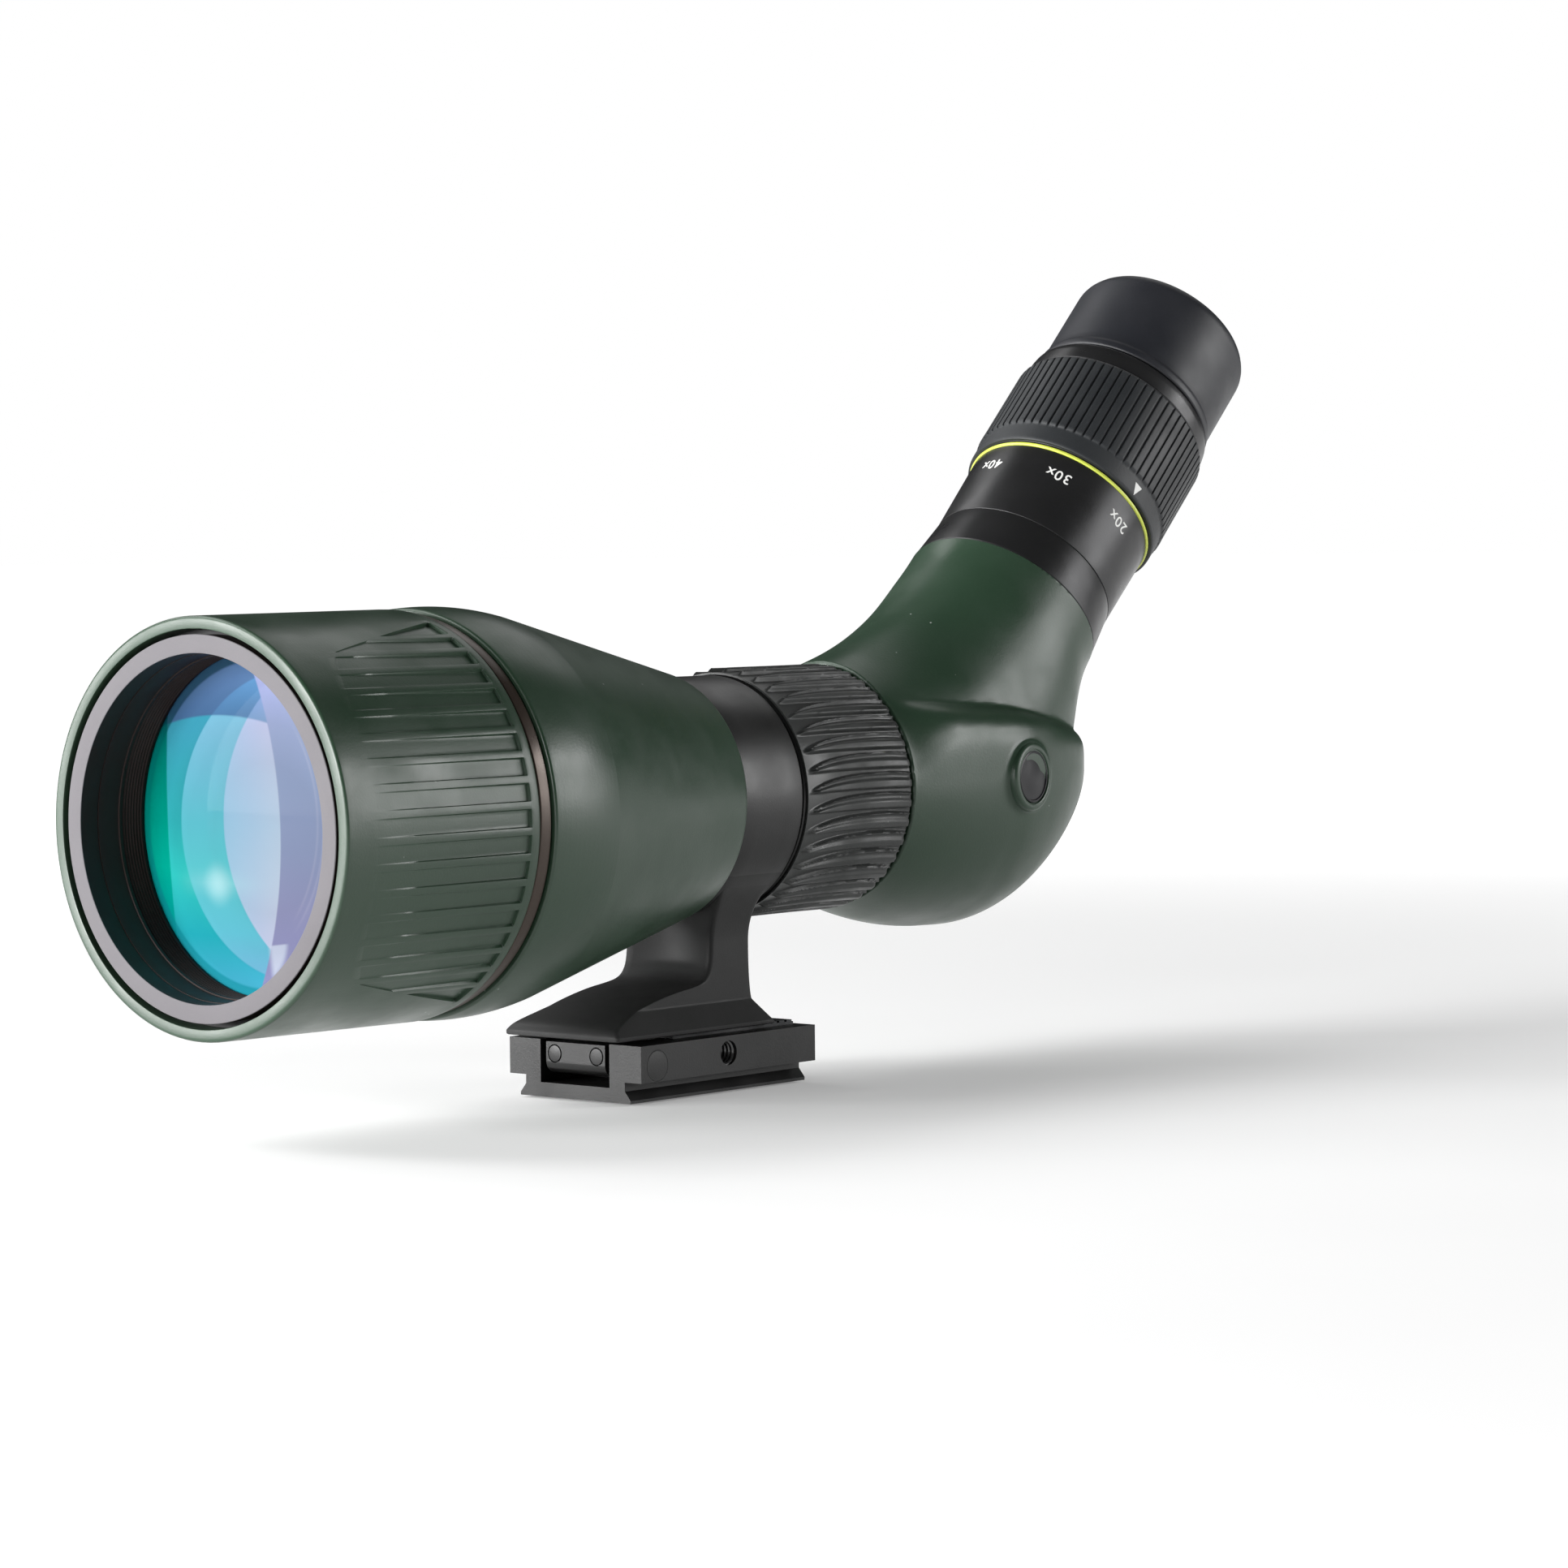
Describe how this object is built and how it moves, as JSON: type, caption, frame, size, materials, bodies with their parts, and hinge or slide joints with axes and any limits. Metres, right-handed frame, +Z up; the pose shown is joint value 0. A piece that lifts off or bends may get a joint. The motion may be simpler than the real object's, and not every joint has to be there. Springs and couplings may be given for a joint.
{
  "type": "spotting scope",
  "caption": "Angled zoom spotting scope with sliding sunshade, helical focus ring, twist-up eyecup, rotating tripod collar and dovetail quick-release plate.",
  "frame": {"origin": "middle of the quick-release plate's underside", "axes": "+Z up; -Y along the optical axis out of the objective; +X towards the user's left hand"},
  "size_m": [0.1022, 0.4035, 0.2177],
  "materials": {
    "green_paint": "satin, fine texture",
    "bushing_black": "matt",
    "trim_grey": "anodised, satin",
    "baffle_black": "matt",
    "black_anodised": "anodised, satin",
    "coated_glass": "multicoated",
    "inner_glass": "multicoated",
    "bronze_anodised": "anodised, satin",
    "inner_black": "anodised, matt",
    "steel": "machined",
    "rubber_black": "matt",
    "badge_black": "gloss",
    "lime": "gloss",
    "casting_black": "fine texture",
    "liner_plastic": "slippery",
    "seal_rubber": "matt"
  },
  "bodies": {
    "foot": {"tripod_collar": "casting_black", "collar_liner": "liner_plastic", "plate_body": "casting_black", "plate_pads": "rubber_black", "plate_flap": "casting_black", "flap_studs": "rubber_black", "flap_pin": "black_anodised", "plate_screw": "steel"},
    "brake": {"brake_shoe": "liner_plastic"},
    "lock_knob": {"lock_stud": "steel", "lock_knob": "rubber_black"},
    "scope": {"objective_barrel": "green_paint", "front_trim_ring": "trim_grey", "shade_guide_ring": "bushing_black", "front_baffle": "baffle_black", "objective_cell": "inner_black", "objective_front_lens": "coated_glass", "objective_spacer": "inner_black", "objective_rear_lens": "inner_glass", "objective_lock_ring": "inner_black", "objective_o_ring": "seal_rubber", "groove_ring": "bronze_anodised", "barrel_baffles": "baffle_black", "focus_guide_tube": "inner_black", "prism_housing": "green_paint", "side_badges": "badge_black", "roof_prism": "inner_glass", "prism_bracket": "inner_black", "prism_screws": "steel", "eyepiece_mount_ring": "black_anodised", "eyepiece_o_ring": "seal_rubber", "eyepiece_barrel": "black_anodised", "lime_ring": "lime", "field_stop": "inner_black", "ocular_housing": "inner_black", "eye_lens_cell": "inner_black", "eye_lens": "coated_glass", "eye_lens_ring": "inner_black"},
    "sunshade": {"sunshade": "green_paint", "shade_bushing": "bushing_black"},
    "focus_ring": {"focus_ring_core": "black_anodised", "focus_ring_rubber": "rubber_black"},
    "focus_carriage": {"focus_cell": "inner_black", "focus_lens": "inner_glass", "focus_pin": "steel"},
    "zoom_ring": {"zoom_ring_core": "black_anodised", "zoom_ring_rubber": "rubber_black", "zoom_cam_sleeve": "inner_black", "zoom_link_pin": "steel"},
    "zoom_front_group": {"zoom_front_cell": "inner_black", "zoom_front_lens": "inner_glass"},
    "zoom_rear_group": {"zoom_rear_cell": "inner_black", "zoom_rear_lens": "inner_glass"},
    "eyecup_carrier": {"eyecup_carrier": "inner_black"},
    "eyecup": {"eyecup_tube": "inner_black", "eyecup_rubber": "rubber_black"}
  },
  "joints": [
    {"name": "collar_turn", "type": "hinge", "parent": "foot", "child": "scope", "pos_m": [0, 0.009, 0.0755], "axis": [0, 1, 0], "continuous": true},
    {"name": "lock_knob_turn", "type": "hinge", "parent": "brake", "child": "lock_knob", "pos_m": [-0.035, 0.009, 0.0755], "axis": [-1, 0, 0], "range_deg": [0, 270]},
    {"name": "shoe_slide", "type": "slide", "parent": "foot", "child": "brake", "axis": [-1, 0, 0], "range_m": [0, 0.0006]},
    {"name": "shade_slide", "type": "slide", "parent": "scope", "child": "sunshade", "axis": [0, -1, 0], "range_m": [0, 0.04]},
    {"name": "focus_turn", "type": "hinge", "parent": "scope", "child": "focus_ring", "pos_m": [0, 0.0425, 0.0755], "axis": [0, 1, 0], "range_deg": [-200, 200]},
    {"name": "focus_slide", "type": "slide", "parent": "scope", "child": "focus_carriage", "axis": [0, 1, 0], "range_m": [-0.007, 0.007]},
    {"name": "zoom_turn", "type": "hinge", "parent": "scope", "child": "zoom_ring", "pos_m": [0, 0.0983, 0.0755], "axis": [0, -0.7071, -0.7071], "range_deg": [0, 184]},
    {"name": "zoom_front_slide", "type": "slide", "parent": "scope", "child": "zoom_front_group", "axis": [0, 0.7071, 0.7071], "range_m": [0, 0.009]},
    {"name": "zoom_rear_slide", "type": "slide", "parent": "scope", "child": "zoom_rear_group", "axis": [0, 0.7071, 0.7071], "range_m": [-0.0071, 0]},
    {"name": "eyecup_lift", "type": "slide", "parent": "scope", "child": "eyecup_carrier", "axis": [0, 0.7071, 0.7071], "range_m": [0, 0.009]},
    {"name": "eyecup_twist", "type": "hinge", "parent": "eyecup_carrier", "child": "eyecup", "pos_m": [0, 0.0983, 0.0755], "axis": [0, 0.7071, 0.7071], "range_deg": [0, 120]}
  ],
  "couplings": [
    {"joint": "shoe_slide", "follows": "lock_knob_turn", "m_per_rad": 0.000127},
    {"joint": "focus_slide", "follows": "focus_turn", "m_per_rad": 0.002},
    {"joint": "zoom_front_slide", "follows": "zoom_turn", "m_per_rad": 0.0028},
    {"joint": "zoom_rear_slide", "follows": "zoom_turn", "m_per_rad": -0.0022},
    {"joint": "eyecup_lift", "follows": "eyecup_twist", "m_per_rad": 0.0042}
  ]
}
